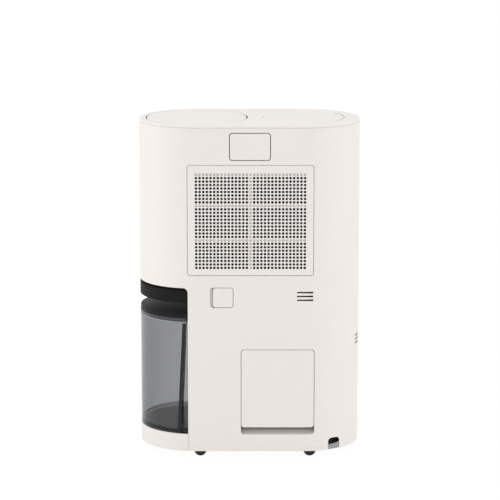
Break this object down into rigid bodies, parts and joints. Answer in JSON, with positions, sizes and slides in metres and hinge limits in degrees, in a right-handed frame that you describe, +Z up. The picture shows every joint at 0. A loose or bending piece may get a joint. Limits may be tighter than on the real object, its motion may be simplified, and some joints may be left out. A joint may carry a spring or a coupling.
{
  "type": "dehumidifier",
  "caption": "Upright compressor dehumidifier with a stadium footprint, side water tank, rear filter door, round top air flap and swivel casters.",
  "frame": {"origin": "centre of the footprint on the floor, under the case", "axes": "+Z up, +Y towards the front, -Y towards the rear face with the filter, -X towards the water tank"},
  "size_m": [0.37, 0.188, 0.567],
  "materials": {
    "case_plastic": "warm white, fine satin texture",
    "lining_plastic": "warm grey white, matt",
    "dark_plastic": "dark grey, fine matt texture",
    "inner_plastic": "grey, matt",
    "smoke_clear": "smoke grey, clear and glossy",
    "grey_insert": "mid grey, matt",
    "guide_clear": "milky",
    "mesh_black": "fine black mesh",
    "post_plastic": "natural, matt",
    "float_blue": "blue foam",
    "board_green": "solder mask",
    "electrical_grey": "light grey",
    "fins": "bare fins",
    "zinc_steel": "zinc plated",
    "copper": "drawn copper tube",
    "black_steel": "black enamel",
    "motor_steel": "grey enamel",
    "black_rubber": "matt",
    "caster_black": "black, satin"
  },
  "bodies": {
    "case": {"base_pan": "case_plastic", "rear_case": "case_plastic", "front_case": "case_plastic", "top_cover": "case_plastic", "bay_liner": "dark_plastic", "mid_deck": "inner_plastic", "inlet_frame": "lining_plastic", "cord_pocket": "lining_plastic", "drain_pocket": "lining_plastic", "door_pocket": "lining_plastic", "cord_gland": "grey_insert", "outlet_louvre": "dark_plastic", "control_disc": "case_plastic", "light_guides": "guide_clear", "control_board": "board_green", "tank_switch": "electrical_grey", "drip_tray": "post_plastic", "evaporator": "fins", "evaporator_tubes": "copper", "condenser": "fins", "condenser_tubes": "copper", "coil_plates": "zinc_steel", "suction_pipe": "copper", "discharge_pipe": "copper", "capillary_tube": "copper", "compressor": "black_steel", "compressor_bracket": "black_steel", "compressor_grommets": "black_rubber", "compressor_nuts": "zinc_steel", "fan_scroll": "inner_plastic", "fan_inlet": "inner_plastic", "fan_motor": "motor_steel", "power_box": "electrical_grey", "capacitor": "fins", "humidity_sensor": "board_green", "chassis_screws": "zinc_steel"},
    "filter_door": {"filter_cover": "case_plastic", "filter_frame": "case_plastic", "filter_mesh": "mesh_black"},
    "upper_flap": {"upper_door": "case_plastic"},
    "drain_flap": {"drain_cover": "case_plastic"},
    "cord_flap": {"cord_cover": "case_plastic"},
    "drain_stopper": {"drain_plug": "black_rubber"},
    "air_flap": {"outlet_flap": "case_plastic"},
    "water_tank": {"tank": "smoke_clear", "float_post": "post_plastic"},
    "tank_cap": {"tank_lid": "dark_plastic"},
    "level_float": {"tank_float": "float_blue"},
    "fan": {"impeller": "inner_plastic", "fan_shaft": "zinc_steel"},
    "swivel_rl": {"caster_fork_rl": "caster_black"},
    "swivel_rr": {"caster_fork_rr": "caster_black"},
    "swivel_fl": {"caster_fork_fl": "caster_black"},
    "swivel_fr": {"caster_fork_fr": "caster_black"},
    "wheel_rl": {"caster_wheel_rl": "caster_black"},
    "wheel_rr": {"caster_wheel_rr": "caster_black"},
    "wheel_fl": {"caster_wheel_fl": "caster_black"},
    "wheel_fr": {"caster_wheel_fr": "caster_black"}
  },
  "joints": [
    {"name": "filter_hinge", "type": "hinge", "parent": "case", "child": "filter_door", "pos_m": [0, -0.0875, 0.3262], "axis": [1, 0, 0], "range_deg": [0, 60]},
    {"name": "upper_door_hinge", "type": "hinge", "parent": "case", "child": "upper_flap", "pos_m": [0.02825, -0.0924, 0.5318], "axis": [0, 0, 1], "range_deg": [0, 100]},
    {"name": "drain_cover_hinge", "type": "hinge", "parent": "case", "child": "drain_flap", "pos_m": [-0.034, -0.09, 0.2776], "axis": [0, 0, 1], "range_deg": [0, 100]},
    {"name": "cord_cover_hinge", "type": "hinge", "parent": "case", "child": "cord_flap", "pos_m": [0.0472, -0.0875, 0.1774], "axis": [-1, 0, 0], "range_deg": [0, 100]},
    {"name": "drain_plug_pull", "type": "slide", "parent": "case", "child": "drain_stopper", "axis": [0, -1, 0], "range_m": [0, 0.0075]},
    {"name": "air_flap_hinge", "type": "hinge", "parent": "case", "child": "air_flap", "pos_m": [-0.0885, -0.069, 0.5657], "axis": [1, 0, 0], "range_deg": [0, 75]},
    {"name": "tank_slide", "type": "slide", "parent": "case", "child": "water_tank", "axis": [-1, 0, 0], "range_m": [0, 0.125]},
    {"name": "tank_lid_lift", "type": "slide", "parent": "water_tank", "child": "tank_cap", "axis": [0, 0, 1], "range_m": [0, 0.018]},
    {"name": "float_rise", "type": "slide", "parent": "water_tank", "child": "level_float", "axis": [0, 0, 1], "range_m": [0, 0.14]},
    {"name": "fan_spin", "type": "hinge", "parent": "case", "child": "fan", "pos_m": [-0.03, 0.01, 0.4045], "axis": [0, 1, 0], "continuous": true},
    {"name": "caster_swivel_rl", "type": "hinge", "parent": "case", "child": "swivel_rl", "pos_m": [-0.0778, -0.0695, 0.0317], "axis": [0, 0, 1], "continuous": true},
    {"name": "wheel_roll_rl", "type": "hinge", "parent": "swivel_rl", "child": "wheel_rl", "pos_m": [-0.0828, -0.0695, 0.0103], "axis": [0, 1, 0], "continuous": true},
    {"name": "caster_swivel_rr", "type": "hinge", "parent": "case", "child": "swivel_rr", "pos_m": [0.1066, -0.0695, 0.0317], "axis": [0, 0, 1], "continuous": true},
    {"name": "wheel_roll_rr", "type": "hinge", "parent": "swivel_rr", "child": "wheel_rr", "pos_m": [0.1016, -0.0695, 0.0103], "axis": [0, 1, 0], "continuous": true},
    {"name": "caster_swivel_fl", "type": "hinge", "parent": "case", "child": "swivel_fl", "pos_m": [-0.0778, 0.0695, 0.0317], "axis": [0, 0, 1], "continuous": true},
    {"name": "wheel_roll_fl", "type": "hinge", "parent": "swivel_fl", "child": "wheel_fl", "pos_m": [-0.0828, 0.0695, 0.0103], "axis": [0, 1, 0], "continuous": true},
    {"name": "caster_swivel_fr", "type": "hinge", "parent": "case", "child": "swivel_fr", "pos_m": [0.1066, 0.0695, 0.0317], "axis": [0, 0, 1], "continuous": true},
    {"name": "wheel_roll_fr", "type": "hinge", "parent": "swivel_fr", "child": "wheel_fr", "pos_m": [0.1016, 0.0695, 0.0103], "axis": [0, 1, 0], "continuous": true}
  ]
}
